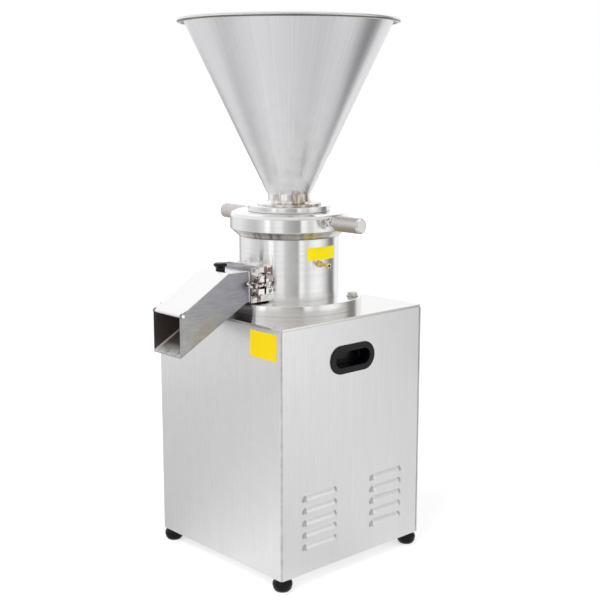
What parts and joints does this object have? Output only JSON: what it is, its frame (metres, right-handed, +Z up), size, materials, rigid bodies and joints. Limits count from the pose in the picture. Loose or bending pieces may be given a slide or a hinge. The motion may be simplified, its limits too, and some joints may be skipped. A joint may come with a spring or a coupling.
{
  "type": "nut butter grinder",
  "caption": "Upright colloid mill on a square steel cabinet with louvred sides, a cone hopper, a turned adjusting ring with handles, a water-jacketed body and a lidded discharge chute.",
  "frame": {"origin": "on the floor plane, under the mill's upright axis, at the centre of the four feet", "axes": "+Z up along the mill's axis, -Y towards the discharge chute, +X towards the side that the picture shows with the finger pull and louvres"},
  "size_m": [0.359, 0.432, 0.884],
  "materials": {
    "brushed": "brushed stainless sheet",
    "polished": "polished stainless steel",
    "grip": "turned steel, fine marks",
    "black_rubber": "matt black rubber",
    "black_plastic": "satin black plastic",
    "green_plastic": "glossy green plastic",
    "red_plastic": "glossy red plastic",
    "brass": "bright turned brass",
    "sticker": "glossy yellow film",
    "motor_paint": "blue-grey enamel",
    "steel": "machined steel",
    "copper": "varnished copper",
    "silicone": "pale silicone rubber",
    "zinc": "zinc-plated steel"
  },
  "bodies": {
    "stand": {"cabinet_shell": "brushed", "rear_panel": "brushed", "panel_screws": "polished", "cabinet_top_plate": "polished", "base_pan": "brushed", "inner_frame": "zinc", "rubber_feet": "black_rubber", "foot_screws": "zinc", "side_pull_right": "black_plastic", "side_pull_left": "black_plastic", "switch_box": "black_plastic", "cable_gland": "black_plastic", "gland_locknut": "black_plastic", "base_flange": "polished", "flange_bolts": "polished", "mill_body": "polished", "jacket_sleeve": "polished", "water_nipples": "brass", "seat_guide_pin": "steel", "seal_seat": "steel", "motor_flange": "motor_paint", "motor_bolts": "zinc", "motor_frame": "motor_paint", "motor_end_shield": "motor_paint", "upper_bearing": "steel", "lower_bearing": "steel", "stator_core": "steel", "stator_windings": "copper", "fan_cowl": "motor_paint", "terminal_box": "motor_paint", "chute": "brushed", "chute_gasket": "silicone", "lid_pin": "polished", "swing_bolt_pins": "polished", "body_sticker": "sticker", "front_sticker": "sticker"},
    "stator_carrier": {"stator_seat": "polished", "grinding_stator": "steel", "feed_cover": "polished"},
    "setting_ring": {"adjusting_ring": "polished", "handle_studs": "polished", "handle_grip_right": "grip", "handle_grip_left": "grip"},
    "feed_hopper": {"hopper_neck": "polished", "hopper": "brushed"},
    "spindle": {"shaft": "steel", "grinding_rotor": "steel", "rotor_nut": "polished", "discharge_impeller": "steel", "seal_ring": "steel", "motor_rotor": "steel", "cooling_fan": "black_plastic"},
    "lid": {"chute_lid": "brushed", "lid_knob": "black_plastic"},
    "right_bolt": {"swing_bolt_right": "zinc"},
    "left_bolt": {"swing_bolt_left": "zinc"},
    "right_nut": {"wing_nut_right": "zinc"},
    "left_nut": {"wing_nut_left": "zinc"},
    "start_key": {"start_button": "green_plastic"},
    "stop_key": {"stop_button": "red_plastic"}
  },
  "joints": [
    {"name": "stator_lift", "type": "slide", "parent": "stand", "child": "stator_carrier", "axis": [0, 0, 1], "range_m": [0, 0.001]},
    {"name": "ring_turn", "type": "hinge", "parent": "stator_carrier", "child": "setting_ring", "pos_m": [0, 0, 0.564], "axis": [0, 0, 1], "range_deg": [0, 120]},
    {"name": "hopper_lift_off", "type": "slide", "parent": "stator_carrier", "child": "feed_hopper", "axis": [0, 0, 1], "range_m": [0, 0.1]},
    {"name": "spindle_spin", "type": "hinge", "parent": "stand", "child": "spindle", "pos_m": [0, 0, 0.4], "axis": [0, 0, 1], "continuous": true},
    {"name": "lid_hinge", "type": "hinge", "parent": "stand", "child": "lid", "pos_m": [0, -0.248, 0.43538], "axis": [1, 0, 0], "range_deg": [0, 150]},
    {"name": "right_bolt_swing", "type": "hinge", "parent": "stand", "child": "right_bolt", "pos_m": [0.0465, -0.087, 0.46775], "axis": [0, 0, 1], "range_deg": [0, 100]},
    {"name": "left_bolt_swing", "type": "hinge", "parent": "stand", "child": "left_bolt", "pos_m": [-0.0465, -0.087, 0.46775], "axis": [0, 0, -1], "range_deg": [0, 100]},
    {"name": "right_nut_spin", "type": "hinge", "parent": "right_bolt", "child": "right_nut", "pos_m": [0.0465, -0.115, 0.46775], "axis": [0, -1, 0], "continuous": true},
    {"name": "left_nut_spin", "type": "hinge", "parent": "left_bolt", "child": "left_nut", "pos_m": [-0.0465, -0.115, 0.46775], "axis": [0, -1, 0], "continuous": true},
    {"name": "start_press", "type": "slide", "parent": "stand", "child": "start_key", "axis": [1, 0, 0], "range_m": [0, 0.0035], "stiffness_N_per_m": 700, "springref_m": -0.002},
    {"name": "stop_press", "type": "slide", "parent": "stand", "child": "stop_key", "axis": [1, 0, 0], "range_m": [0, 0.0035], "stiffness_N_per_m": 700, "springref_m": -0.002}
  ],
  "couplings": [
    {"joint": "stator_lift", "follows": "ring_turn", "m_per_rad": 0.000477}
  ]
}
